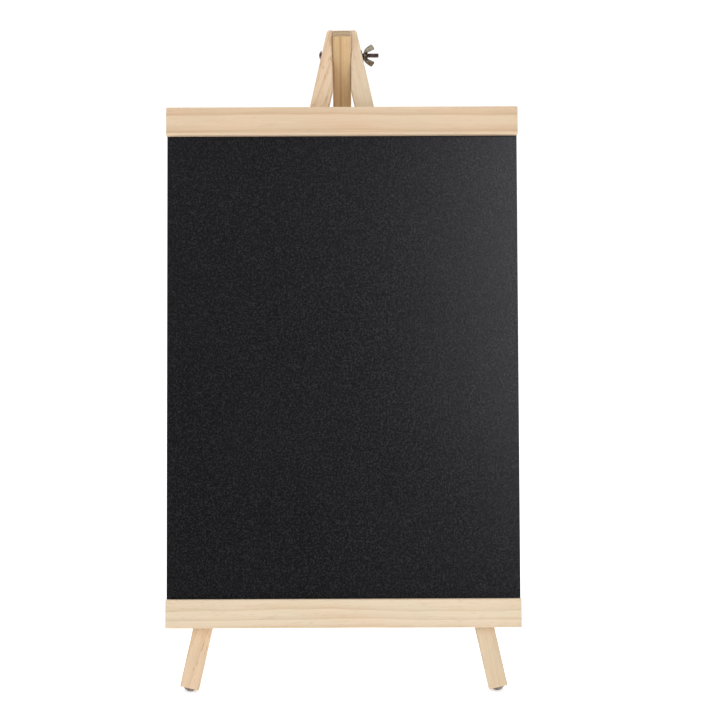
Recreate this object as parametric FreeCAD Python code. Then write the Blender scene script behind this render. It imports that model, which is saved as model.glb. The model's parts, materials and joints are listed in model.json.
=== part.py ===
import FreeCAD, Part
import math
import os

# Menu chalkboard easel: a chalk panel held between two grooved rails, screwed to the front of
# two splayed legs, with a third leg hinged between them on a bolt and locked by a wing nut.
# Lengths are in millimetres and angles in degrees.
# Every piece is drawn about the pivot bolt's axis: X to the right, Y to the back, Z up, with the
# leg that carries it upright. It is then leaned to its angle and lifted so that the glides stand
# on Z = 0, with the middle of the overall box at X = Y = 0.

# Sticks, all cut from one square section
STICK = 15.8
STICK_ROUND = 1.2
END_ROUND = 0.6

# How the easel stands
LEAN = 12.0
SPLAY = 12.65
REAR_TILT = 19.0

# Front legs
FRONT_FACE_AT_BOLT = 17.3
FRONT_LENGTH = 555.6
FRONT_RISE = 20.9
WINDOW = 16.1
TIP_ROUND = 3.0

# Rear leg
REAR_RISE = 20.2

# Rails and chalk panel
RAIL_LENGTH = 300.0
RAIL_HEIGHT = 24.2
RAIL_DEPTH = 14.0
RAIL_ROUND = 1.2
RAIL_LIP = 7.0
GROOVE_WIDTH = 3.2
GROOVE_DEPTH = 9.0
TOP_RAIL_DROP = 48.4
BOTTOM_RAIL_DROP = 466.9
PANEL_WIDTH = 299.0
PANEL_THICKNESS = 3.0
PANEL_INSERT = 8.5
PANEL_ROUND = 0.3

# Pivot bolt: a round head over a square neck that bites in the left leg
BOLT_RADIUS = 2.0
BOLT_TIP_X = 31.8
BOLT_CHAMFER = 0.5
HEAD_RADIUS = 4.5
HEAD_HEIGHT = 2.4
HEAD_PROUD = 2.5
NECK_SIDE = 4.0
NECK_LENGTH = 2.4
HEAD_POCKET_GAP = 0.1
NECK_POCKET_GAP = 0.03
FRONT_HOLE_RADIUS = 2.15
REAR_HOLE_RADIUS = 2.08

# Washer, flat on the slanted face of the right leg
WASHER_RADIUS = 5.0
WASHER_HOLE_RADIUS = 2.4
WASHER_THICKNESS = 0.7
WASHER_GAP = 0.03

# Wing nut
NUT_BASE_X = 19.05
NUT_BASE_RADIUS = 3.8
NUT_TOP_RADIUS = 3.1
NUT_HUB_HEIGHT = 3.2
NUT_BORE_RADIUS = 2.05
NUT_TURN = 25.0
WING_THICKNESS = 1.9
WING_ROUND = 1.2
WING_TIP_RADIUS = 10.0
WING_TIP_X = 25.6
WING_END_RADIUS = 5.7
WING_END_X = 28.1
WING_ROOT_RADIUS = 3.0
WING_FOOT_RADIUS = 4.7
WING_FOOT_STEP = 0.25
WING_TOP_STEP = 0.8

# Glides: domes with a nail, driven into the leg ends
GLIDE_RADIUS = 5.3
GLIDE_HEIGHT = 3.0
GLIDE_FLAT = 0.08
NAIL_RADIUS = 0.9
NAIL_LENGTH = 13.0
NAIL_POINT = 2.5
NAIL_TIP_RADIUS = 0.15
NAIL_GAP = 0.02

# Countersunk screws that hold the rails, driven from the back of the front legs
SCREW_RADIUS = 1.75
SCREW_HEAD_RADIUS = 3.5
SCREW_HEAD_HEIGHT = 2.2
SCREW_LENGTH = 25.0
SCREW_POINT = 4.0
SCREW_TIP_RADIUS = 0.2
SCREW_SINK = 0.2
SCREW_GAP = 0.03
SCREW_EDGE_DISTANCE = 8.5
RECESS_DEPTH = 1.5
RECESS_SPAN = 3.6
RECESS_WIDTH = 0.9

# Worked out from the sizes above
HALF = STICK / 2
SPLAY_SLOPE = math.tan(math.radians(SPLAY))
LEG_AXIS_AT_BOLT = FRONT_FACE_AT_BOLT - HALF / math.cos(math.radians(SPLAY))
RAIL_FRONT_Y = -HALF - RAIL_DEPTH
GROOVE_Y = RAIL_FRONT_Y + RAIL_LIP
DOME_SPHERE = (GLIDE_RADIUS**2 + GLIDE_HEIGHT**2) / (2 * GLIDE_HEIGHT)
DOME_CENTRE_INSET = DOME_SPHERE - GLIDE_HEIGHT
HEAD_SEAT_X = -(FRONT_FACE_AT_BOLT + HEAD_PROUD - HEAD_HEIGHT)
DOME_CENTRE_DROP = (
    (FRONT_LENGTH - DOME_CENTRE_INSET)
    * math.cos(math.radians(SPLAY))
    * math.cos(math.radians(LEAN))
)
REAR_LENGTH = DOME_CENTRE_DROP / math.cos(math.radians(REAR_TILT)) + DOME_CENTRE_INSET
BOLT_HEIGHT = DOME_CENTRE_DROP + DOME_SPHERE - GLIDE_FLAT

ORIGIN = FreeCAD.Vector(0, 0, 0)
X_AXIS = FreeCAD.Vector(1, 0, 0)
Y_AXIS = FreeCAD.Vector(0, 1, 0)
Z_AXIS = FreeCAD.Vector(0, 0, 1)

# FAR reaches past any piece near the bolt, CUT_MARGIN past the face that a cut starts from, and
# points closer than TOLERANCE are the same
FAR = 60.0
CUT_MARGIN = 1.0
TOLERANCE = 1e-4


def point(x, y, z):
    return FreeCAD.Vector(x, y, z)


def turned(shape, axis, degrees):
    """A copy of the shape, turned about an axis through the origin."""
    copy = shape.copy()
    copy.rotate(ORIGIN, axis, degrees)
    return copy


def moved(shape, x, y, z):
    copy = shape.copy()
    copy.translate(point(x, y, z))
    return copy


def block(x0, x1, y0, y1, z0, z1):
    return Part.makeBox(x1 - x0, y1 - y0, z1 - z0, point(x0, y0, z0))


def is_along(edge, axis):
    """True for an edge whose ends are apart along the axis alone."""
    start, end = edge.Vertexes[0].Point, edge.Vertexes[-1].Point
    span = end - start
    return span.Length > TOLERANCE and span.cross(axis).Length < TOLERANCE


def rounded_bar(bar, axis, long_radius, end_radius):
    """Rounds a bar's long edges, then the rims of its two ends."""
    bar = bar.makeFillet(long_radius, [e for e in bar.Edges if is_along(e, axis)])
    spans = [v.Point.dot(axis) for v in bar.Vertexes]
    ends = (min(spans), max(spans))

    def on_an_end(edge):
        places = [v.Point.dot(axis) for v in edge.Vertexes]
        return any(all(abs(p - end) < TOLERANCE for p in places) for end in ends)

    return bar.makeFillet(end_radius, [e for e in bar.Edges if on_an_end(e)])


def nail_shape(gap=0.0):
    """A glide's nail, pointing up along +Z from the leg end at Z = 0."""
    shank = Part.makeCylinder(NAIL_RADIUS + gap, NAIL_LENGTH - NAIL_POINT)
    start = point(0, 0, NAIL_LENGTH - NAIL_POINT)
    tip = Part.makeCone(NAIL_RADIUS + gap, NAIL_TIP_RADIUS + gap, NAIL_POINT, start)
    return shank.fuse(tip).removeSplitter()


def glide():
    """A domed glide with its nail, on a leg end at Z = 0 that looks down."""
    sphere = Part.makeSphere(DOME_SPHERE, point(0, 0, DOME_CENTRE_INSET))
    dome = sphere.common(block(-FAR, FAR, -FAR, FAR, -FAR, 0))
    return dome.fuse(nail_shape()).removeSplitter()


def screw_shape(gap=0.0):
    """A countersunk screw along -Y, with the top of its head at Y = 0."""
    point_start = SCREW_LENGTH - SCREW_POINT
    profile = [
        point(0, 0, 0),
        point(SCREW_HEAD_RADIUS + gap, 0, 0),
        point(SCREW_RADIUS + gap, -SCREW_HEAD_HEIGHT, 0),
        point(SCREW_RADIUS + gap, -point_start, 0),
        point(SCREW_TIP_RADIUS + gap, -SCREW_LENGTH - gap, 0),
        point(0, -SCREW_LENGTH - gap, 0),
        point(0, 0, 0),
    ]
    face = Part.Face(Part.makePolygon(profile))
    return face.revolve(ORIGIN, Y_AXIS, 360)


def screw():
    body = screw_shape()
    half_span, half_width = RECESS_SPAN / 2, RECESS_WIDTH / 2
    slot = block(-half_span, half_span, -RECESS_DEPTH, CUT_MARGIN, -half_width, half_width)
    return body.cut(slot).cut(turned(slot, Y_AXIS, 90))


def screw_hole():
    """The screw's own shape in the wood, with the sink above its head."""
    mouth = Part.makeCylinder(SCREW_HEAD_RADIUS + SCREW_GAP, CUT_MARGIN, ORIGIN, Y_AXIS)
    return screw_shape(SCREW_GAP).fuse(mouth).removeSplitter()


def screw_places():
    """Where each rail screw's head sits, by name: on the leg's centre line, by its solid wood."""
    drops = {
        "top": TOP_RAIL_DROP + SCREW_EDGE_DISTANCE,
        "bottom": BOTTOM_RAIL_DROP + RAIL_HEIGHT - SCREW_EDGE_DISTANCE,
    }
    places = {}
    for rail, drop in drops.items():
        for side, sign in (("left", -1), ("right", 1)):
            x = sign * (LEG_AXIS_AT_BOLT + drop * SPLAY_SLOPE)
            places[f"rail_screw_{rail}_{side}"] = (x, HALF - SCREW_SINK, -drop)
    return places


def with_screw_holes(shape, word):
    """Cuts the holes of the screws whose name holds the word."""
    for name, place in screw_places().items():
        if word in name:
            shape = shape.cut(moved(screw_hole(), *place))
    return shape


def bolt_hole(radius):
    return Part.makeCylinder(radius, 2 * FAR, point(-FAR, 0, 0), X_AXIS)


def to_front_foot(shape, sign):
    """From a leg's own axis to its splayed place: sign is -1 on the left and 1 on the right."""
    return moved(turned(shape, Y_AXIS, -sign * SPLAY), sign * LEG_AXIS_AT_BOLT, 0, 0)


def front_leg_outline():
    """The right leg seen from the front: level top, slanted stick, and an upright flat by the window."""
    axis_x, axis_z = math.sin(math.radians(SPLAY)), -math.cos(math.radians(SPLAY))
    across = HALF / math.cos(math.radians(SPLAY))
    foot_x = LEG_AXIS_AT_BOLT + FRONT_LENGTH * axis_x
    foot_z = FRONT_LENGTH * axis_z
    flat_x = WINDOW / 2
    flat_bottom = -(flat_x - (LEG_AXIS_AT_BOLT - across)) / SPLAY_SLOPE
    return [
        (flat_x, FRONT_RISE),
        (FRONT_FACE_AT_BOLT - FRONT_RISE * SPLAY_SLOPE, FRONT_RISE),
        (foot_x - HALF * axis_z, foot_z + HALF * axis_x),
        (foot_x + HALF * axis_z, foot_z - HALF * axis_x),
        (flat_x, flat_bottom),
    ]


def front_leg(side, sign):
    """A leg from its outline, with its tip, arrises and foot rounded, then its holes."""
    corners = [point(sign * x, -HALF, z) for x, z in front_leg_outline()]
    leg = Part.Face(Part.makePolygon(corners + corners[:1])).extrude(point(0, STICK, 0))
    across = [e for e in leg.Edges if is_along(e, Y_AXIS)]
    top = [e for e in across if e.Vertexes[0].Point.z > FRONT_RISE - TOLERANCE]
    leg = leg.makeFillet(TIP_ROUND, [max(top, key=lambda e: abs(e.Vertexes[0].Point.x))])
    leg = leg.makeFillet(STICK_ROUND, [e for e in leg.Edges if not is_along(e, Y_AXIS)])
    foot = [e for e in leg.Edges if is_along(e, Y_AXIS) and e.Vertexes[0].Point.z < -FRONT_LENGTH / 2]
    leg = leg.makeFillet(END_ROUND, foot)
    leg = leg.cut(to_front_foot(moved(nail_shape(NAIL_GAP), 0, 0, -FRONT_LENGTH), sign))
    leg = leg.cut(bolt_hole(FRONT_HOLE_RADIUS))
    if side == "left":
        leg = leg.cut(head_pocket())
    return with_screw_holes(leg, side)


def head_pocket():
    """The seat that the bolt's round head and square neck press into the left leg."""
    side = NECK_SIDE + 2 * NECK_POCKET_GAP
    neck_end = HEAD_SEAT_X + NECK_LENGTH + NECK_POCKET_GAP
    neck = block(HEAD_SEAT_X - CUT_MARGIN, neck_end, -side / 2, side / 2, -side / 2, side / 2)
    seat = Part.makeCylinder(HEAD_RADIUS + HEAD_POCKET_GAP, FAR, point(HEAD_SEAT_X, 0, 0), -X_AXIS)
    return seat.fuse(neck)


def rear_leg():
    bar = block(-HALF, HALF, -HALF, HALF, -REAR_LENGTH, REAR_RISE)
    bar = rounded_bar(bar, Z_AXIS, STICK_ROUND, END_ROUND)
    bar = bar.cut(moved(nail_shape(NAIL_GAP), 0, 0, -REAR_LENGTH))
    return bar.cut(bolt_hole(REAR_HOLE_RADIUS))


def rail(drop, groove_at_bottom):
    """A rail with a groove along the edge that faces the panel."""
    half_length = RAIL_LENGTH / 2
    top, bottom = -drop, -drop - RAIL_HEIGHT
    bar = block(-half_length, half_length, RAIL_FRONT_Y, -HALF, bottom, top)
    bar = rounded_bar(bar, X_AXIS, RAIL_ROUND, END_ROUND)
    if groove_at_bottom:
        heights = (bottom - CUT_MARGIN, bottom + GROOVE_DEPTH)
    else:
        heights = (top - GROOVE_DEPTH, top + CUT_MARGIN)
    groove = block(-FAR - half_length, FAR + half_length, GROOVE_Y, GROOVE_Y + GROOVE_WIDTH, *heights)
    return bar.cut(groove)


def chalk_panel():
    half_width = PANEL_WIDTH / 2
    front = GROOVE_Y + (GROOVE_WIDTH - PANEL_THICKNESS) / 2
    top = -TOP_RAIL_DROP - RAIL_HEIGHT + PANEL_INSERT
    bottom = -BOTTOM_RAIL_DROP - PANEL_INSERT
    panel = block(-half_width, half_width, front, front + PANEL_THICKNESS, bottom, top)
    sides = [e for e in panel.Edges if is_along(e, Z_AXIS)]
    return panel.makeFillet(PANEL_ROUND, sides)


def pivot_bolt():
    """A dome on a seat plane, a square neck and a round shank with a chamfered tip."""
    sphere_radius = (HEAD_RADIUS**2 + HEAD_HEIGHT**2) / (2 * HEAD_HEIGHT)
    sphere = Part.makeSphere(sphere_radius, point(HEAD_SEAT_X - HEAD_HEIGHT + sphere_radius, 0, 0))
    head = sphere.common(block(-FAR, HEAD_SEAT_X, -FAR, FAR, -FAR, FAR))
    half = NECK_SIDE / 2
    neck = block(HEAD_SEAT_X, HEAD_SEAT_X + NECK_LENGTH, -half, half, -half, half)
    shank_end = BOLT_TIP_X - BOLT_CHAMFER
    shank = Part.makeCylinder(BOLT_RADIUS, shank_end - HEAD_SEAT_X, point(HEAD_SEAT_X, 0, 0), X_AXIS)
    tip = Part.makeCone(
        BOLT_RADIUS, BOLT_RADIUS - BOLT_CHAMFER, BOLT_CHAMFER, point(shank_end, 0, 0), X_AXIS
    )
    return head.fuse([neck, shank, tip]).removeSplitter()


def clamp_washer():
    """A flat ring on the right leg's outer face, which leans in towards its top."""
    ring = Part.makeCylinder(WASHER_RADIUS, WASHER_THICKNESS, point(WASHER_GAP, 0, 0), X_AXIS)
    hole = Part.makeCylinder(WASHER_HOLE_RADIUS, FAR, point(-FAR / 2, 0, 0), X_AXIS)
    ring = ring.cut(hole)
    return moved(turned(ring, Y_AXIS, -SPLAY), FRONT_FACE_AT_BOLT, 0, 0)


def wing():
    """One upright wing of the nut, flat in the XZ plane."""
    base_x = NUT_BASE_X + WING_FOOT_STEP
    hub_top_x = NUT_BASE_X + NUT_HUB_HEIGHT - WING_TOP_STEP
    corners = [
        (base_x, NUT_BORE_RADIUS),
        (base_x, WING_FOOT_RADIUS),
        (WING_TIP_X, WING_TIP_RADIUS),
        (WING_END_X, WING_END_RADIUS),
        (hub_top_x, WING_ROOT_RADIUS),
        (hub_top_x, NUT_BORE_RADIUS),
    ]
    outline = [point(x, -WING_THICKNESS / 2, z) for x, z in corners + corners[:1]]
    plate = Part.Face(Part.makePolygon(outline)).extrude(point(0, WING_THICKNESS, 0))
    across = [e for e in plate.Edges if is_along(e, Y_AXIS)]
    tips = [e for e in across if e.Vertexes[0].Point.z > WING_END_RADIUS - TOLERANCE]
    return plate.makeFillet(WING_ROUND, tips)


def wing_nut():
    hub = Part.makeCone(
        NUT_BASE_RADIUS, NUT_TOP_RADIUS, NUT_HUB_HEIGHT, point(NUT_BASE_X, 0, 0), X_AXIS
    )
    wings = [wing(), turned(wing(), X_AXIS, 180)]
    nut = hub.fuse(wings).removeSplitter()
    nut = nut.cut(bolt_hole(NUT_BORE_RADIUS))
    return turned(nut, X_AXIS, NUT_TURN)


def front_frame_parts():
    parts = {
        "top_rail": with_screw_holes(rail(TOP_RAIL_DROP, True), "top"),
        "bottom_rail": with_screw_holes(rail(BOTTOM_RAIL_DROP, False), "bottom"),
        "chalk_panel": chalk_panel(),
        "pivot_bolt": pivot_bolt(),
        "clamp_washer": clamp_washer(),
    }
    for side, sign in (("left", -1), ("right", 1)):
        parts[f"front_leg_{side}"] = front_leg(side, sign)
        foot = moved(glide(), 0, 0, -FRONT_LENGTH)
        parts[f"foot_glide_front_{side}"] = to_front_foot(foot, sign)
    for name, place in screw_places().items():
        parts[name] = moved(screw(), *place)
    return parts


def rear_parts():
    return {
        "rear_leg": rear_leg(),
        "foot_glide_rear": moved(glide(), 0, 0, -REAR_LENGTH),
    }


def standing_parts():
    """Every piece at its standing angle, still about the bolt's axis, its glides worn flat."""
    parts = {name: turned(shape, X_AXIS, -LEAN) for name, shape in front_frame_parts().items()}
    parts.update({name: turned(shape, X_AXIS, REAR_TILT) for name, shape in rear_parts().items()})
    parts["wing_nut"] = wing_nut()
    ground = block(-5 * FAR, 5 * FAR, -5 * FAR, 5 * FAR, -BOLT_HEIGHT - FAR, -BOLT_HEIGHT)
    for name in parts:
        if name.startswith("foot_glide"):
            parts[name] = parts[name].cut(ground)
    return parts


def main():
    os.makedirs("parts", exist_ok=True)
    parts = standing_parts()
    box = Part.makeCompound(list(parts.values())).optimalBoundingBox(False, False)
    shift_y = -(box.YMin + box.YMax) / 2
    for name, shape in parts.items():
        shape = moved(shape, 0, shift_y, BOLT_HEIGHT)
        solids = shape.Solids
        if len(solids) != 1 or not solids[0].isValid():
            raise ValueError(f"{name} is not one sound solid")
        solids[0].exportStep(f"parts/{name}.step")
        print(f"{name}: {solids[0].Volume:.1f} mm3")
    print(f"pivot at Y {shift_y:.4f}, Z {BOLT_HEIGHT:.4f}; rear leg {REAR_LENGTH:.3f} from bolt to foot")
    print(f"box Y {box.YMin + shift_y:.3f}..{box.YMax + shift_y:.3f}, Z {box.ZMin:.3f}..{box.ZMax:.3f}")


main()
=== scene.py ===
import json
import math

import bmesh
import bpy
from mathutils import Matrix, Vector


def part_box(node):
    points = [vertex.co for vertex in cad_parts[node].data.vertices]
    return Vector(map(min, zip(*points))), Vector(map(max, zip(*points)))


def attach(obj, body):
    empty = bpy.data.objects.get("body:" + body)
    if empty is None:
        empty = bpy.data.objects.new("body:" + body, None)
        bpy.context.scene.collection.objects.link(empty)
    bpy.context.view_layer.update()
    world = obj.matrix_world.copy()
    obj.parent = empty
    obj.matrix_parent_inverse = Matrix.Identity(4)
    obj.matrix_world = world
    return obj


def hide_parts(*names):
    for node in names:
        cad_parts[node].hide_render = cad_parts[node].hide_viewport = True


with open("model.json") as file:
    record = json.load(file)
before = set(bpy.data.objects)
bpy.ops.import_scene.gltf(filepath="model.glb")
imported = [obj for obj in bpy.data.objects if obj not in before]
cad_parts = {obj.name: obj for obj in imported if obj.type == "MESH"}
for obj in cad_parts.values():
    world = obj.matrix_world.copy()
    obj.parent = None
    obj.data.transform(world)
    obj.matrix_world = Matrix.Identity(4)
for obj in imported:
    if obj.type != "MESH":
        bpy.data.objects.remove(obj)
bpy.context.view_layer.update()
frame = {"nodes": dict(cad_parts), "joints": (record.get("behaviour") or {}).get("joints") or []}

# Menu chalkboard easel. Lengths are in metres unless a name ends in _mm, angles in degrees.
# The wooden pieces and the panel keep their CAD shape and get solid (3-D) materials in their own
# grain direction. The metal pieces are modelled here: each is drawn in mm about the X axis and then
# turned and placed.

MM = 0.001
MM_PER_METRE = 1000
PIVOT = Vector(next(j["pos_m"] for j in frame["joints"] if j["name"] == "rear_leg_fold"))

# How the easel stands
LEAN = 12.0
SPLAY = 12.65
REAR_TILT = 19.0
STICK_MM = 15.8
FRONT_LENGTH_MM = 555.6

# Pivot hardware. The bolt lies along X, and places along it are from the middle of the easel.
THREAD_PITCH_MM = 0.7
BOLT_RADIUS_MM = 2.0
THREAD_ROOT_MM = 1.62
BOLT_TIP_MM = 31.8
THREAD_START_MM = 12.0
HEAD_SEAT_MM = -17.4
HEAD_RADIUS_MM = 4.5
HEAD_HEIGHT_MM = 2.4
NECK_SIDE_MM = 4.0
NECK_LENGTH_MM = 2.4
RIGHT_FACE_MM = 17.3
WASHER_RADIUS_MM = 5.0
WASHER_HOLE_MM = 2.4
WASHER_THICKNESS_MM = 0.7
WASHER_GAP_MM = 0.03
NUT_BASE_MM = 19.05
NUT_BASE_RADIUS_MM = 3.8
NUT_TOP_RADIUS_MM = 3.1
NUT_HEIGHT_MM = 3.2
NUT_BORE_MM = 2.05
NUT_TURN = 25.0
WING_THICKNESS_MM = 1.9

# Glides under the legs
GLIDE_RADIUS_MM = 5.3
GLIDE_HEIGHT_MM = 3.0
NAIL_RADIUS_MM = 0.9
NAIL_LENGTH_MM = 13.0

# Rail screws
SCREW_RADIUS_MM = 1.75
SCREW_ROOT_MM = 1.15
SCREW_HEAD_RADIUS_MM = 3.5
SCREW_HEAD_HEIGHT_MM = 2.2
SCREW_LENGTH_MM = 25.0
SCREW_PITCH_MM = 1.6

# Camera: a long lens in front of the bolt and just above it, looking slightly down
CAMERA_FROM_PIVOT = Vector((0.0147, -2.0060, 0.0211))
CAMERA_PITCH = 8.141
CAMERA_ROLL = -0.22
LENS_MM = 115.0
SENSOR_MM = 36.0

# Light
WORLD_SEEN = 1.1
WORLD_AT_HORIZON = 0.10
WORLD_OVERHEAD = 0.70
WORLD_BACKDROP = 0.9
FLOOR_GLOW = 0.55
RIGHT_WATTS = 12.5
LEFT_WATTS = 8.0
TOP_WATTS = 14.5
BACKDROP_FROM = 0.3
BACKDROP_FULL = 0.9
FLOOR_HALF_WIDTH = 6.0

# Places worked out from the sizes above
LEG_AXIS_MM = RIGHT_FACE_MM - STICK_MM / 2 / math.cos(math.radians(SPLAY))

def srgb(red, green, blue):
    """An sRGB colour in 0..255 as linear values."""

    def linear(value):
        value /= 255
        return value / 12.92 if value <= 0.04045 else ((value + 0.055) / 1.055) ** 2.4

    return (linear(red), linear(green), linear(blue), 1.0)


def turn(axis, degrees):
    return Matrix.Rotation(math.radians(degrees), 3, axis)


# ---------------------------------------------------------------- mesh tools


def in_scene(name, data):
    """A new object in the scene that shows a mesh, a light or a camera."""
    thing = bpy.data.objects.new(name, data)
    bpy.context.scene.collection.objects.link(thing)
    return thing


def add_object(name, mesh, body, slot, *nodes):
    """Puts a mesh in the scene, rides it on a body and lets it stand for its CAD nodes."""
    piece = in_scene(name, mesh)
    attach(piece, body)
    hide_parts(*nodes)
    return piece


def finish_mesh(bm, name, place, sharp=35):
    """A smooth-shaded mesh from a bmesh drawn in mm, placed in the row frame."""
    bmesh.ops.remove_doubles(bm, verts=bm.verts, dist=1e-5)
    bmesh.ops.recalc_face_normals(bm, faces=bm.faces)
    mesh = bpy.data.meshes.new(name)
    bm.to_mesh(mesh)
    bm.free()
    mesh.transform(place)
    mesh.shade_smooth()
    mesh.set_sharp_from_angle(angle=math.radians(sharp))
    return mesh


def placed(point, rotation=None):
    """The matrix that turns a drawing in mm and puts its origin at a point in the row frame."""
    rotation = rotation or Matrix.Identity(3)
    return Matrix.Translation(point) @ rotation.to_4x4() @ Matrix.Scale(MM, 4)


def ring_grid(bm, rows, hollow=False):
    """Faces between rows of vertices that go round.

    The ends get one face each, or if hollow, the last row is joined to the first.
    """
    following = rows[1:] + rows[:1] if hollow else rows[1:]
    for low, high in zip(rows, following):
        for i in range(len(low)):
            k = (i + 1) % len(low)
            bm.faces.new((low[i], low[k], high[k], high[i]))
    if not hollow:
        bm.faces.new(rows[0])
        bm.faces.new(rows[-1])


def lathe(profile, segments=64, hollow=False):
    """A closed shape turned about X from (x, radius) points, in mm; a hollow one is a ring."""
    bm = bmesh.new()
    angles = [2 * math.pi * i / segments for i in range(segments)]
    rows = []
    for x, radius in profile:
        radius = max(radius, 1e-4)
        rows.append([bm.verts.new((x, radius * math.cos(a), radius * math.sin(a))) for a in angles])
    ring_grid(bm, rows, hollow)
    return bm


def cap_sphere(radius, height):
    """Radius of the sphere whose cap has this rim radius and height."""
    return (radius**2 + height**2) / (2 * height)


def arc(centre_x, centre_r, radius, start, end, steps):
    """Points (x, radius) along an arc, angles in degrees from +X."""
    points = []
    for i in range(steps + 1):
        a = math.radians(start + (end - start) * i / steps)
        points.append((centre_x + radius * math.cos(a), centre_r + radius * math.sin(a)))
    return points


def thread_height(phase):
    """Height of a metric thread's flank, 0 at the root and 1 at the crest."""
    phase %= 1.0
    crest, root = 0.25, 0.2
    flank = (1 - crest - root) / 2
    if phase < crest:
        return 1.0
    if phase < crest + flank:
        return 1.0 - (phase - crest) / flank
    if phase < crest + flank + root:
        return 0.0
    return (phase - crest - flank - root) / flank


def threaded(start, end, pitch, root, outer, segments=48, steps=14):
    """A rod about X whose surface is a right-hand helix; root and outer are functions of x."""
    bm = bmesh.new()
    rows = []
    count = int((end - start) / pitch * steps)
    for j in range(count + 1):
        x = start + (end - start) * j / count
        row = []
        for i in range(segments):
            share = i / segments
            height = thread_height(x / pitch - share)
            radius = max(root(x) + (outer(x) - root(x)) * height, 0.02)
            a = 2 * math.pi * share
            row.append(bm.verts.new((x, radius * math.cos(a), radius * math.sin(a))))
        rows.append(row)
    ring_grid(bm, rows)
    return bm


def join_into(bm, other):
    """Adds another bmesh's faces to bm."""
    mesh = bpy.data.meshes.new("part")
    other.to_mesh(mesh)
    other.free()
    bm.from_mesh(mesh)
    bpy.data.meshes.remove(mesh)
    return bm


def box_bm(x0, x1, half_y, half_z):
    """A block from x0 to x1, centred on the X axis."""
    bm = bmesh.new()
    bmesh.ops.create_cube(bm, size=1)
    bmesh.ops.scale(bm, vec=(x1 - x0, 2 * half_y, 2 * half_z), verts=bm.verts)
    bmesh.ops.translate(bm, vec=((x0 + x1) / 2, 0, 0), verts=bm.verts)
    return bm


def extruded(outline, half_thickness):
    """A plate from an (x, z) outline, across Y."""
    bm = bmesh.new()
    front = [bm.verts.new((x, -half_thickness, z)) for x, z in outline]
    back = [bm.verts.new((x, half_thickness, z)) for x, z in outline]
    bm.faces.new(front)
    bm.faces.new(list(reversed(back)))
    for i in range(len(outline)):
        k = (i + 1) % len(outline)
        bm.faces.new((front[i], back[i], back[k], front[k]))
    return bm


def modified(bm, *recipes):
    """The bmesh after a stack of modifiers, each given as (type, settings)."""
    mesh = bpy.data.meshes.new("work")
    bm.to_mesh(mesh)
    bm.free()
    work = in_scene("work", mesh)
    for kind, settings in recipes:
        modifier = work.modifiers.new(kind.lower(), kind)
        for key, value in settings.items():
            setattr(modifier, key, value)
    graph = bpy.context.evaluated_depsgraph_get()
    result = bpy.data.meshes.new_from_object(work.evaluated_get(graph))
    out = bmesh.new()
    out.from_mesh(result)
    bpy.data.objects.remove(work)
    bpy.data.meshes.remove(mesh)
    bpy.data.meshes.remove(result)
    return out


def cut_out(bm, tool):
    """bm with the tool's shape taken away."""
    mesh = bpy.data.meshes.new("tool")
    bmesh.ops.recalc_face_normals(tool, faces=tool.faces)
    tool.to_mesh(mesh)
    tool.free()
    cutter = in_scene("cutter", mesh)
    out = modified(bm, ("BOOLEAN", {"operation": "DIFFERENCE", "solver": "EXACT", "object": cutter}))
    bpy.data.objects.remove(cutter)
    bpy.data.meshes.remove(mesh)
    return out


# ---------------------------------------------------------------- metal pieces


def build_pivot_bolt(material):
    """Round head, square neck, and a shank whose far end is threaded."""
    sphere = cap_sphere(HEAD_RADIUS_MM, HEAD_HEIGHT_MM)
    edge = math.degrees(math.asin((HEAD_RADIUS_MM - 0.25) / sphere))
    centre = HEAD_SEAT_MM - HEAD_HEIGHT_MM + sphere
    head = arc(centre, 0, sphere, 180, 180 - edge, 16)
    head += arc(HEAD_SEAT_MM - 0.3, HEAD_RADIUS_MM - 0.3, 0.3, 120, 0, 6)
    head += [(HEAD_SEAT_MM, HEAD_RADIUS_MM - 0.35), (HEAD_SEAT_MM, 0)]
    bm = lathe(head, 72)
    half = NECK_SIDE_MM / 2
    inside_head = HEAD_SEAT_MM - 0.2
    join_into(bm, box_bm(inside_head, HEAD_SEAT_MM + NECK_LENGTH_MM, half, half))
    run_out_length = 1.4

    def outer(x):
        return min(BOLT_RADIUS_MM, THREAD_ROOT_MM - 0.1 + (BOLT_TIP_MM - x))

    def root(x):
        run_out = max(0.0, (THREAD_START_MM + run_out_length - x) / run_out_length)
        return min(THREAD_ROOT_MM + (BOLT_RADIUS_MM - THREAD_ROOT_MM) * min(run_out, 1), outer(x))

    join_into(bm, threaded(THREAD_START_MM, BOLT_TIP_MM, THREAD_PITCH_MM, root, outer))
    inside_thread = THREAD_START_MM + 0.1
    shank = [(inside_head, 0), (inside_head, BOLT_RADIUS_MM)]
    shank += [(inside_thread, BOLT_RADIUS_MM), (inside_thread, 0)]
    join_into(bm, lathe(shank, 48))
    mesh = finish_mesh(bm, "pivot_bolt_detail", placed(PIVOT, turn("X", -LEAN)))
    mesh.materials.append(material)
    return add_object("pivot_bolt_detail", mesh, "front_frame", "bolt_steel", "pivot_bolt")


def build_washer(material):
    """A punched ring: one rim rolled over, the other nearly sharp."""
    inner, outer = WASHER_HOLE_MM, WASHER_RADIUS_MM
    base = WASHER_GAP_MM
    top = base + WASHER_THICKNESS_MM
    profile = [(base + 0.03, inner + 0.1)]
    profile += [(base + 0.13, inner), (top - 0.17, inner)]
    profile += arc(top - 0.2, inner + 0.2, 0.2, 270, 360, 4)
    profile += arc(top - 0.25, outer - 0.25, 0.25, 0, 90, 6)
    profile += [(base + 0.1, outer), (base + 0.03, outer - 0.08)]
    bm = lathe(profile, 72, hollow=True)
    face = placed(PIVOT, turn("X", -LEAN)) @ Matrix.Translation((RIGHT_FACE_MM, 0, 0))
    mesh = finish_mesh(bm, "clamp_washer_detail", face @ turn("Y", -SPLAY).to_4x4())
    mesh.materials.append(material)
    return add_object("clamp_washer_detail", mesh, "loose_washer", "bolt_steel", "clamp_washer")


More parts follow.
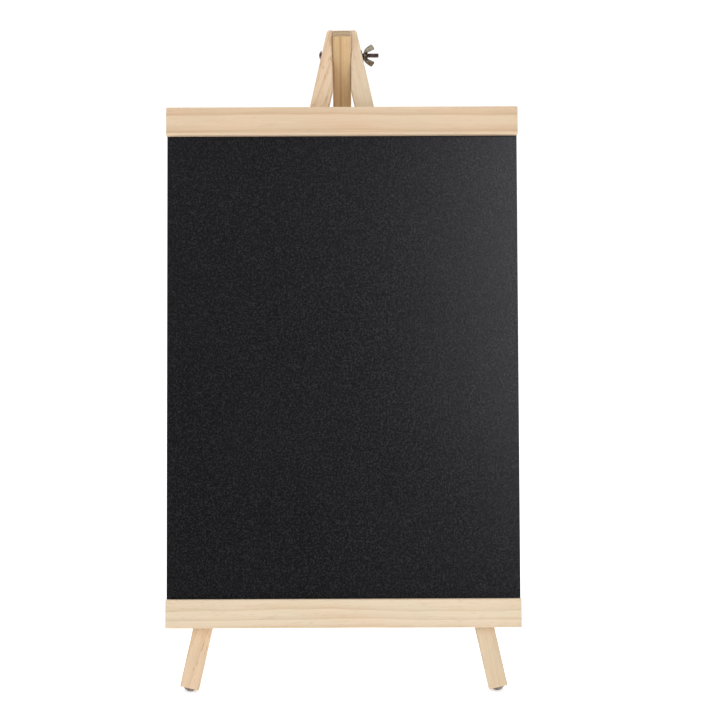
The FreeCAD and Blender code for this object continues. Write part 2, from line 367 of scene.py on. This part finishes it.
def wing_outline():
    """One wing of the nut in (x, z): straight outer edge, rounded tip, and an inner edge to the hub."""
    x0 = NUT_BASE_MM
    outline = [(x0 + 0.3, 1.0), (x0 + 0.25, 4.6), (x0 + 1.0, 5.9), (x0 + 2.6, 7.6), (x0 + 4.4, 9.1)]
    outline += arc(x0 + 6.35, 9.15, 1.0, 110, 20, 8)
    outline += arc(x0 + 8.0, 6.75, 1.0, 20, -66, 8)
    outline += [(x0 + 4.4, 3.9), (x0 + 3.0, 3.1), (x0 + 2.6, 2.5), (x0 + 2.6, 1.0)]
    return outline


def build_wing_nut(material):
    """Forged wing nut: a coned seat, a countersunk bore, and soft fillets from hub to wings."""
    x0 = NUT_BASE_MM
    x1 = x0 + NUT_HEIGHT_MM
    hub = [(x0 - 0.45, 0), (x0 - 0.45, NUT_BORE_MM + 0.25), (x0 + 0.1, NUT_BASE_RADIUS_MM)]
    hub += [(x1, NUT_TOP_RADIUS_MM), (x1, 0)]
    bm = lathe(hub, 64)
    for half_turn in (0, 180):
        wing = extruded(wing_outline(), WING_THICKNESS_MM / 2)
        wing.transform(turn("X", half_turn).to_4x4())
        join_into(bm, wing)
    bm = modified(
        bm,
        ("REMESH", {"mode": "VOXEL", "voxel_size": 0.13}),
        ("SMOOTH", {"factor": 0.5, "iterations": 2}),
    )
    flare = NUT_BORE_MM + 1.3
    bore = [(x0 - 1, 0), (x0 - 1, NUT_BORE_MM + 1.35), (x0 + 0.35, NUT_BORE_MM)]
    bore += [(x1 - 0.3, NUT_BORE_MM), (x1 + 1, flare), (x1 + 5, flare), (x1 + 5, 0)]
    bm = cut_out(bm, lathe(bore, 64))
    mesh = finish_mesh(bm, "wing_nut_detail", placed(PIVOT, turn("X", NUT_TURN)), 50)
    mesh.materials.append(material)
    return add_object("wing_nut_detail", mesh, "wing_nut", "wing_nut_steel", "wing_nut")


def build_glide(name, body, foot, down, material):
    """A pressed dome with a rolled rim and its nail, worn flat where it stands."""
    sphere = cap_sphere(GLIDE_RADIUS_MM, GLIDE_HEIGHT_MM)
    rim = math.degrees(math.asin((GLIDE_RADIUS_MM - 0.35) / sphere))
    profile = arc(GLIDE_HEIGHT_MM - sphere, 0, sphere, 0, rim, 24)
    profile += arc(0.4, GLIDE_RADIUS_MM - 0.4, 0.4, 55, 180, 8)
    profile += [(0.0, GLIDE_RADIUS_MM - 0.9), (0.0, NAIL_RADIUS_MM)]
    profile += [(-NAIL_LENGTH_MM + 2.5, NAIL_RADIUS_MM), (-NAIL_LENGTH_MM, 0.1)]
    bm = lathe(profile, 72)
    across = Vector((1, 0, 0)) if abs(down.x) < 0.9 else Vector((0, 1, 0))
    side = down.cross(across).normalized()
    rotation = Matrix((down, side.cross(down), side)).transposed()
    mesh = finish_mesh(bm, name, placed(foot, rotation))
    for vertex in mesh.vertices:
        vertex.co.z = max(vertex.co.z, 0.0)
    mesh.materials.append(material)
    return add_object(name, mesh, body, "glide_nickel", name.replace("_detail", ""))


def build_screw(node, material):
    """A countersunk cross-recess wood screw with its thread, pointing to the front of the easel."""
    forward = turn("X", -LEAN) @ Vector((0, -1, 0))
    head = centre_of(node) - forward * (SCREW_LENGTH_MM / 2 * MM)
    thread_from = 9.0
    run_out_length = 1.6
    tip_length = 4.5

    def taper(x):
        return max(0.04, min(1.0, (SCREW_LENGTH_MM - x) / tip_length))

    def outer(x):
        return SCREW_RADIUS_MM * taper(x) ** 0.8

    def root(x):
        run_out = max(0.0, (thread_from + run_out_length - x) / run_out_length)
        return (SCREW_ROOT_MM + (SCREW_RADIUS_MM - SCREW_ROOT_MM) * min(run_out, 1)) * taper(x)

    shank = [(0, 0), (0, SCREW_HEAD_RADIUS_MM - 0.15), (0.2, SCREW_HEAD_RADIUS_MM)]
    shank += [(0.45, SCREW_HEAD_RADIUS_MM - 0.1), (SCREW_HEAD_HEIGHT_MM, SCREW_RADIUS_MM)]
    shank += [(thread_from + 0.1, SCREW_RADIUS_MM), (thread_from + 0.1, 0)]
    bm = lathe(shank, 48)
    for quarter in (0, 90):
        bm = cut_out(bm, recess_blade(quarter))
    join_into(bm, threaded(thread_from, SCREW_LENGTH_MM, SCREW_PITCH_MM, root, outer, 32, 14))
    side = turn("X", -LEAN) @ Vector((0, 0, 1))
    rotation = Matrix((forward, side.cross(forward), side)).transposed()
    mesh = finish_mesh(bm, f"{node}_detail", placed(head, rotation @ turn("X", 20)), 30)
    mesh.materials.append(material)
    return add_object(f"{node}_detail", mesh, "front_frame", "screw_steel", node)


def recess_blade(quarter):
    """One tapered blade of the cross recess."""
    bm = bmesh.new()
    top = [(-0.5, y, z) for y, z in ((-2.0, -0.5), (2.0, -0.5), (2.0, 0.5), (-2.0, 0.5))]
    bottom = [(1.7, y, z) for y, z in ((-0.7, -0.3), (0.7, -0.3), (0.7, 0.3), (-0.7, 0.3))]
    rows = [[bm.verts.new(p) for p in ring] for ring in (top, bottom)]
    ring_grid(bm, rows)
    bm.transform(turn("X", quarter).to_4x4())
    return bm


# ---------------------------------------------------------------- material tools


class Nodes:
    """Short calls that add and link shader nodes in one material."""

    def __init__(self, name):
        self.material = bpy.data.materials.new(name)
        self.material.use_nodes = True
        self.tree = self.material.node_tree
        self.tree.nodes.clear()
        self.shader = self.tree.nodes.new("ShaderNodeBsdfPrincipled")
        output = self.tree.nodes.new("ShaderNodeOutputMaterial")
        self.tree.links.new(self.shader.outputs["BSDF"], output.inputs["Surface"])

    def put(self, socket, value):
        """Links a socket, or sets a plain value."""
        if isinstance(value, bpy.types.NodeSocket):
            self.tree.links.new(value, socket)
        elif value is not None:
            socket.default_value = value

    def math(self, operation, a, b=None, c=None, clamp=False):
        node = self.tree.nodes.new("ShaderNodeMath")
        node.operation = operation
        node.use_clamp = clamp
        for socket, value in zip(node.inputs, (a, b, c)):
            self.put(socket, value)
        return node.outputs[0]

    def distance(self, a, b):
        """The length of the vector (a, b)."""
        return self.math("SQRT", self.math("ADD", self.math("POWER", a, 2.0), self.math("POWER", b, 2.0)))

    def swing(self, noise, amount, base, clamp=False):
        """base plus the noise's swing about its middle value, times amount."""
        return self.math("MULTIPLY_ADD", self.math("SUBTRACT", noise, 0.5), amount, base, clamp=clamp)

    def coordinates(self, which="Object"):
        return self.tree.nodes.new("ShaderNodeTexCoord").outputs[which]

    def mapped(self, vector, location=(0, 0, 0), rotation=(0, 0, 0), scale=(1, 1, 1), kind="POINT"):
        node = self.tree.nodes.new("ShaderNodeMapping")
        node.vector_type = kind
        self.put(node.inputs["Vector"], vector)
        if kind == "POINT":
            node.inputs["Location"].default_value = location
        node.inputs["Rotation"].default_value = rotation
        node.inputs["Scale"].default_value = scale
        return node.outputs[0]

    def split(self, vector):
        node = self.tree.nodes.new("ShaderNodeSeparateXYZ")
        self.put(node.inputs[0], vector)
        return node.outputs

    def noise(self, vector, scale, detail=2.0, roughness=0.5, distortion=0.0):
        node = self.tree.nodes.new("ShaderNodeTexNoise")
        self.put(node.inputs["Vector"], vector)
        node.inputs["Scale"].default_value = scale
        node.inputs["Detail"].default_value = detail
        node.inputs["Roughness"].default_value = roughness
        node.inputs["Distortion"].default_value = distortion
        return node.outputs["Fac"]

    def ramp(self, value, stops, smooth=False):
        """A ramp of (position, colour or grey) stops."""
        node = self.tree.nodes.new("ShaderNodeValToRGB")
        node.color_ramp.interpolation = "EASE" if smooth else "LINEAR"
        elements = node.color_ramp.elements
        while len(elements) < len(stops):
            elements.new(0.5)
        for element, (position, colour) in zip(elements, stops):
            element.position = position
            element.color = colour if isinstance(colour, tuple) else (colour, colour, colour, 1)
        self.put(node.inputs[0], value)
        return node.outputs["Color"]

    def mix(self, factor, a, b, blend="MIX"):
        node = self.tree.nodes.new("ShaderNodeMix")
        node.data_type = "RGBA"
        node.blend_type = blend
        self.put(node.inputs["Factor"], factor)
        self.put(node.inputs[6], a)
        self.put(node.inputs[7], b)
        return node.outputs[2]

    def bump(self, height, strength, distance, normal=None):
        node = self.tree.nodes.new("ShaderNodeBump")
        node.inputs["Strength"].default_value = strength
        node.inputs["Distance"].default_value = distance
        self.put(node.inputs["Height"], height)
        self.put(node.inputs["Normal"], normal)
        return node.outputs["Normal"]

    def surface(self, **values):
        """Sets the shader's own sockets, such as Base_Color or Roughness."""
        for key, value in values.items():
            self.put(self.shader.inputs[key.replace("_", " ")], value)
        return self.material


# ---------------------------------------------------------------- wood


def growth_rings(n, mm, wobble, pith, ring_mm, wander):
    """How dark the wood is within its ring, from pale early wood to the late wood's dark line."""
    width, depth, _ = n.split(mm)
    slow = n.noise(n.mapped(mm, scale=(0.03, 0.03, 0.006)), 1.0, 2.0)
    radius = n.distance(n.math("SUBTRACT", width, pith[0]), n.math("SUBTRACT", depth, pith[1]))
    radius = n.swing(slow, 6.0 * wander, radius)
    radius = n.swing(wobble, 1.6, radius)
    ring = n.math("FRACT", n.math("DIVIDE", radius, ring_mm))
    stops = [(0.0, 0.10), (0.45, 0.18), (0.78, 0.55), (0.93, 1.0), (0.985, 0.55), (1.0, 0.10)]
    return n.ramp(ring, stops)


def wood_shade(n, mm, fine, late_wood, band):
    """0 for the palest wood to 1 for the darkest: rings, fibres and slow blotches together."""
    medium = n.noise(n.mapped(mm, scale=(0.55, 0.55, 0.018)), 1.0, 3.0, 0.6)
    blotch = n.noise(n.mapped(mm, scale=(0.05, 0.05, 0.012)), 1.0, 3.0, 0.55)
    shade = n.math("MULTIPLY", late_wood, band)
    shade = n.swing(fine, 0.55, shade)
    shade = n.swing(medium, 0.55, shade)
    return n.swing(blotch, 0.45, shade, clamp=True)


def streak_line(n, mm, wobble, streak):
    """A soft line along the length, from its place across the width, half width and strength."""
    middle, half_width, strength = streak
    width = n.split(mm)[0]
    off_line = n.math("ABSOLUTE", n.math("SUBTRACT", n.swing(wobble, half_width, width), middle))
    reach = n.math("DIVIDE", off_line, 4 * half_width)
    return n.ramp(reach, [(0.0, strength), (0.5, 0.0)], smooth=True)


def end_grain(n, mm, angles, late_wood):
    """Where a face cuts across the grain, and the colour and pores that it shows there."""
    along = n.split(n.mapped(n.coordinates("Normal"), rotation=angles, kind="VECTOR"))[2]
    mask = n.ramp(n.math("ABSOLUTE", along), [(0.75, 0.0), (0.93, 1.0)])
    rings = n.mix(late_wood, srgb(205, 180, 146), srgb(158, 128, 92))
    pores = n.noise(n.mapped(mm, scale=(3.2, 3.2, 0.6)), 1.0, 3.0, 0.7)
    colour = n.mix(n.ramp(pores, [(0.35, 0.0), (0.62, 0.55)]), rings, srgb(120, 92, 62))
    return mask, colour, pores


def pine(
    name, grain, start, pith, ring_mm, early, late,
    band=0.5, flecks=0.5, slope=0.0, wander=1.5, streak=None,
):
    """Planed pine as a solid: growth rings about a pith line, fibres, resin flecks and end grain.

    grain is the rotation whose columns are the piece's width, depth and length directions, start a
    point on its axis, pith the pith line's (width, depth) in mm and ring_mm the ring spacing.
    streak is a darker line along the length: its place across the width, half width and strength.
    """
    n = Nodes(name)
    turned_back = grain.transposed()
    angles = turned_back.to_euler()
    place = -(turned_back @ start) * MM_PER_METRE
    mm = n.mapped(n.coordinates(), location=place, rotation=angles, scale=[MM_PER_METRE] * 3)
    mm = n.mapped(mm, rotation=(0, math.radians(slope), 0))

    wobble = n.noise(n.mapped(mm, scale=(0.12, 0.12, 0.02)), 1.0, 2.0)
    fine = n.noise(n.mapped(mm, scale=(2.6, 2.6, 0.05)), 1.0, 4.0, 0.65)
    late_wood = growth_rings(n, mm, wobble, pith, ring_mm, wander)
    colour = n.mix(wood_shade(n, mm, fine, late_wood, band), early, late)
    if streak:
        colour = n.mix(streak_line(n, mm, wobble, streak), colour, late)

    warm = n.noise(n.mapped(mm, scale=(0.08, 0.08, 0.02)), 1.0, 2.0)
    pink = n.ramp(warm, [(0.35, (0.985, 1.0, 0.985, 1)), (0.65, (1.02, 0.985, 0.965, 1))])
    colour = n.mix(1.0, colour, pink, "MULTIPLY")

    fleck_field = n.noise(n.mapped(mm, scale=(1.5, 1.5, 0.12)), 1.0, 1.0, 0.4)
    fleck = n.ramp(fleck_field, [(0.0, 0.0), (0.665, 0.0), (0.73, 1.0), (1.0, 1.0)])
    colour = n.mix(n.math("MULTIPLY", fleck, flecks), colour, srgb(158, 104, 60))

    end_mask, end_colour, pores = end_grain(n, mm, angles, late_wood)
    colour = n.mix(end_mask, colour, end_colour)
    height = n.math("MULTIPLY_ADD", fine, 0.6, n.math("MULTIPLY", late_wood, 0.25))
    height = n.math("MULTIPLY_ADD", fleck, -0.8, height)
    height = n.math("MULTIPLY_ADD", n.math("MULTIPLY", pores, end_mask), 1.5, height)
    rough = n.math("MULTIPLY_ADD", fine, 0.16, 0.50)
    rough = n.math("MULTIPLY_ADD", end_mask, 0.18, rough)
    return n.surface(
        Base_Color=colour,
        Roughness=rough,
        Normal=n.bump(height, 0.5, 0.00012),
        Specular_IOR_Level=0.35,
    )


def front_grain(splay=0.0):
    """Width, depth and length directions of a stick in the front frame, as a rotation."""
    return turn("X", -LEAN) @ turn("Y", splay)


def dress_wood(nodes):
    """Gives each wooden piece its own board of pine."""
    rail_grain = front_grain() @ turn("Y", 90)
    leg_axis = Vector((LEG_AXIS_MM * MM, 0, 0))
    boards = {
        "front_leg_left": pine(
            "leg_left_pine", front_grain(SPLAY), PIVOT - leg_axis, (38, 16), 6.5,
            srgb(222, 197, 168), srgb(189, 153, 116), band=0.45, flecks=0.85, slope=-7.0,
        ),
        "front_leg_right": pine(
            "leg_right_pine", front_grain(-SPLAY), PIVOT + leg_axis, (-12, 55), 8.0,
            srgb(217, 197, 170), srgb(178, 146, 112), band=0.7, flecks=0.35, slope=-1.0,
        ),
        # The rear leg's pine is darker and more orange than the other pieces: partly its own wood tone,
        # partly painted shade for where it stands between the front legs.
        "rear_leg": pine(
            "rear_leg_pine_with_painted_shade", turn("X", REAR_TILT), PIVOT, (2, -16), 7.0,
            srgb(208, 180, 138), srgb(150, 107, 60), band=0.6, flecks=0.2, streak=(-1.3, 1.2, 0.5),
        ),
        "top_rail": pine(
            "top_rail_pine", rail_grain, centre_of("top_rail"), (-43.5, 4), 13.5,
            srgb(216, 192, 164), srgb(188, 156, 122), band=0.6, flecks=0.12, wander=0.9,
            streak=(9.4, 0.4, 0.6),
        ),
        "bottom_rail": pine(
            "bottom_rail_pine", rail_grain, centre_of("bottom_rail"), (-30, 38), 4.4,
            srgb(222, 204, 179), srgb(196, 168, 133), band=0.55, flecks=0.22, wander=0.8,
        ),
    }
    for node, material in boards.items():
        set_material(nodes[node], material)


def centre_of(node):
    """The middle of a CAD piece's box."""
    low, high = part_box(node)
    return (low + high) / 2


def set_material(piece, material):
    piece.data.materials.clear()
    piece.data.materials.append(material)


# ---------------------------------------------------------------- panel


def chalkboard():
    """Matte black paint with a fine tooth on the front and edges, and bare brown hardboard behind."""
    n = Nodes("chalkboard_paint")
    spot = n.coordinates()
    tooth = n.noise(spot, 620.0, 3.0, 0.6)
    speck = n.noise(spot, 900.0, 1.0, 0.5)
    cloud = n.noise(spot, 9.0, 3.0, 0.5)
    grey = n.ramp(tooth, [(0.34, srgb(2, 2, 2)), (0.5, srgb(11, 11, 11)), (0.66, srgb(34, 34, 36))])
    grey = n.mix(n.ramp(speck, [(0.6, 0.0), (0.74, 0.3)]), grey, srgb(56, 56, 60))
    grey = n.mix(n.ramp(cloud, [(0.35, 0.0), (0.7, 0.12)]), grey, srgb(36, 36, 38))

    upright = (math.radians(LEAN), 0, 0)
    back_amount = n.split(n.mapped(n.coordinates("Normal"), rotation=upright, kind="VECTOR"))[1]
    back_mask = n.ramp(back_amount, [(0.8, 0.0), (0.9, 1.0)])
    fibre = n.noise(spot, 420.0, 5.0, 0.7)
    brown = n.ramp(fibre, [(0.3, srgb(92, 66, 44)), (0.52, srgb(122, 90, 62)), (0.75, srgb(150, 117, 84))])
    colour = n.mix(back_mask, grey, brown)
    height = n.math("MULTIPLY_ADD", speck, 0.6, tooth)
    return n.surface(
        Base_Color=colour,
        Roughness=n.math("MULTIPLY_ADD", tooth, 0.08, 0.19),
        Normal=n.bump(height, 0.5, 0.00012),
        Specular_IOR_Level=0.3,
        Specular_Tint=(0.93, 0.90, 1.0, 1.0),
    )


# ---------------------------------------------------------------- metals


def metal(name, bright, dull, stain, rough, stain_amount, thread_shade_mm=None):
    """Plated steel: cloudy plating, fine scratches and dark stain in patches.

    The last argument says how far from the bolt's axis the painted shade round the thread reaches.
    """
    n = Nodes(name)
    spot = n.coordinates()
    cloud = n.noise(spot, 350.0, 4.0, 0.6)
    scratch = n.noise(n.mapped(spot, scale=(3.0, 0.4, 0.4)), 2500.0, 2.0, 0.7)
    patch = n.noise(spot, 700.0, 4.0, 0.65, 0.4)
    colour = n.mix(n.ramp(cloud, [(0.35, 0.0), (0.65, 1.0)]), bright, dull)
    colour = n.mix(n.ramp(patch, [(0.5, 0.0), (0.68, stain_amount)]), colour, stain)
    if thread_shade_mm:
        # Painted shade: the colour is darkened near the bolt's axis, where the hub's hollow round the
        # thread lies in shade.
        from_bolt = n.mapped(spot, location=-PIVOT * MM_PER_METRE, scale=[MM_PER_METRE] * 3)
        _, across, up = n.split(from_bolt)
        away = n.swing(patch, 1.6, n.distance(across, up))
        reach = n.math("DIVIDE", away, 2 * thread_shade_mm)
        colour = n.mix(n.ramp(reach, [(0.35, 0.9), (0.5, 0.0)], smooth=True), colour, srgb(34, 24, 20))
    roughness = n.math("MULTIPLY_ADD", cloud, 0.14, rough)
    roughness = n.swing(scratch, 0.12, roughness)
    return n.surface(
        Base_Color=colour,
        Metallic=1.0,
        Roughness=roughness,
        Normal=n.bump(n.math("MULTIPLY_ADD", scratch, 0.4, patch), 0.25, 0.00004),
    )


# ---------------------------------------------------------------- stage


def build_floor():
    """A plain pale floor, larger than any view of it."""
    mesh = bpy.data.meshes.new("floor")
    corners = [(-1, -1), (1, -1), (1, 1), (-1, 1)]
    points = [(FLOOR_HALF_WIDTH * x, FLOOR_HALF_WIDTH * y, 0) for x, y in corners]
    mesh.from_pydata(points, [], [(0, 1, 2, 3)])
    floor = in_scene("floor", mesh)
    n = Nodes("floor_white")
    mottle = n.noise(n.coordinates(), 3.0, 2.0)
    shade = n.ramp(mottle, [(0.3, 0.86), (0.7, 0.88)])
    white = (1.0, 1.0, 1.0, 1.0)
    mesh.materials.append(
        n.surface(
            Base_Color=shade,
            Roughness=0.9,
            Specular_IOR_Level=0.1,
            Emission_Color=white,
            Emission_Strength=FLOOR_GLOW,
        )
    )


def area_light(name, place, target, size, power):
    """A rectangular soft box that faces a target."""
    light = bpy.data.lights.new(name, "AREA")
    light.shape = "RECTANGLE"
    light.size, light.size_y = size
    light.energy = power
    lamp = in_scene(name, light)
    lamp.location = place
    lamp.rotation_euler = (Vector(target) - Vector(place)).to_track_quat("-Z", "Y").to_euler()


def build_lights():
    """A white backdrop that lights from behind and above, and soft boxes right, left and overhead."""
    world = bpy.data.worlds.new("studio")
    bpy.context.scene.world = world
    world.use_nodes = True
    tree = world.node_tree
    background = tree.nodes["Background"]
    background.inputs["Color"].default_value = (1, 1, 1, 1)
    sky = tree.nodes.new("ShaderNodeSeparateXYZ")
    place = tree.nodes.new("ShaderNodeTexCoord")
    tree.links.new(place.outputs["Generated"], sky.inputs[0])
    light = tree.nodes.new("ShaderNodeMapRange")
    light.inputs["To Min"].default_value = WORLD_AT_HORIZON
    light.inputs["To Max"].default_value = WORLD_OVERHEAD
    tree.links.new(sky.outputs["Z"], light.inputs["Value"])
    behind = tree.nodes.new("ShaderNodeMapRange")
    behind.inputs["From Min"].default_value = BACKDROP_FROM
    behind.inputs["From Max"].default_value = BACKDROP_FULL
    behind.inputs["To Max"].default_value = WORLD_BACKDROP
    tree.links.new(sky.outputs["Y"], behind.inputs["Value"])
    both = tree.nodes.new("ShaderNodeMath")
    tree.links.new(light.outputs["Result"], both.inputs[0])
    tree.links.new(behind.outputs["Result"], both.inputs[1])
    path = tree.nodes.new("ShaderNodeLightPath")
    strength = tree.nodes.new("ShaderNodeMix")
    strength.inputs["B"].default_value = WORLD_SEEN
    tree.links.new(path.outputs["Is Camera Ray"], strength.inputs["Factor"])
    tree.links.new(both.outputs[0], strength.inputs["A"])
    tree.links.new(strength.outputs["Result"], background.inputs["Strength"])
    middle = (0, 0, 0.28)
    area_light("right_box", (0.72, -2.0, 1.06), middle, (0.8, 0.9), RIGHT_WATTS)
    area_light("left_box", (-1.3, -1.7, 1.5), middle, (1.2, 1.2), LEFT_WATTS)
    area_light("top_box", (0.0, -0.1, 2.4), middle, (1.8, 1.4), TOP_WATTS)


def build_camera():
    camera = bpy.data.cameras.new("camera")
    camera.lens = LENS_MM
    camera.sensor_width = SENSOR_MM
    camera.clip_end = 50
    eye = in_scene("camera", camera)
    tilt = turn("X", 90 - CAMERA_PITCH) @ turn("Z", CAMERA_ROLL)
    eye.matrix_world = Matrix.Translation(PIVOT + CAMERA_FROM_PIVOT) @ tilt.to_4x4()
    bpy.context.scene.camera = eye
    bpy.context.scene.view_settings.view_transform = "Standard"


# ---------------------------------------------------------------- the easel


def rear_length_mm():
    """The rear leg's length below the bolt, at which its glide stands level with the front ones."""
    inset = cap_sphere(GLIDE_RADIUS_MM, GLIDE_HEIGHT_MM) - GLIDE_HEIGHT_MM
    flattened = math.cos(math.radians(SPLAY)) * math.cos(math.radians(LEAN))
    drop = (FRONT_LENGTH_MM - inset) * flattened
    return drop / math.cos(math.radians(REAR_TILT)) + inset


def foot_places():
    """Each glide's name, body, leg-end centre and the direction that its leg points down."""
    places = []
    for side, sign in (("left", -1), ("right", 1)):
        down = front_grain(sign * -SPLAY) @ Vector((0, 0, -1))
        start = PIVOT + Vector((sign * LEG_AXIS_MM * MM, 0, 0))
        foot = start + down * (FRONT_LENGTH_MM * MM)
        places.append((f"foot_glide_front_{side}_detail", "front_frame", foot, down))
    down = turn("X", REAR_TILT) @ Vector((0, 0, -1))
    foot = PIVOT + down * (rear_length_mm() * MM)
    places.append(("foot_glide_rear_detail", "rear_support", foot, down))
    return places


def main():
    build_camera()
    build_lights()
    build_floor()
    nodes = frame["nodes"]
    dress_wood(nodes)
    set_material(nodes["chalk_panel"], chalkboard())

    bolt_steel = metal("bolt_steel", srgb(140, 122, 120), srgb(100, 82, 82), srgb(56, 38, 38), 0.24, 0.7)
    dark_steel = metal("washer_steel", srgb(58, 44, 34), srgb(42, 30, 20), srgb(26, 17, 10), 0.42, 0.8)
    # The nut's material has painted shade round the thread, out to 4.7 mm from the bolt's axis.
    nut_steel = metal(
        "nut_steel", srgb(158, 151, 136), srgb(106, 96, 82), srgb(64, 46, 36), 0.11, 0.6, thread_shade_mm=4.7
    )
    nickel = metal("glide_nickel", srgb(158, 150, 144), srgb(126, 118, 112), srgb(88, 76, 70), 0.26, 0.4)
    zinc = metal("screw_zinc", srgb(206, 188, 140), srgb(176, 156, 108), srgb(120, 98, 66), 0.26, 0.4)
    build_pivot_bolt(bolt_steel)
    build_washer(dark_steel)
    build_wing_nut(nut_steel)
    for name, body, foot, down in foot_places():
        build_glide(name, body, foot, down, nickel)
    for node in sorted(nodes):
        if node.startswith("rail_screw"):
            build_screw(node, zinc)


main()
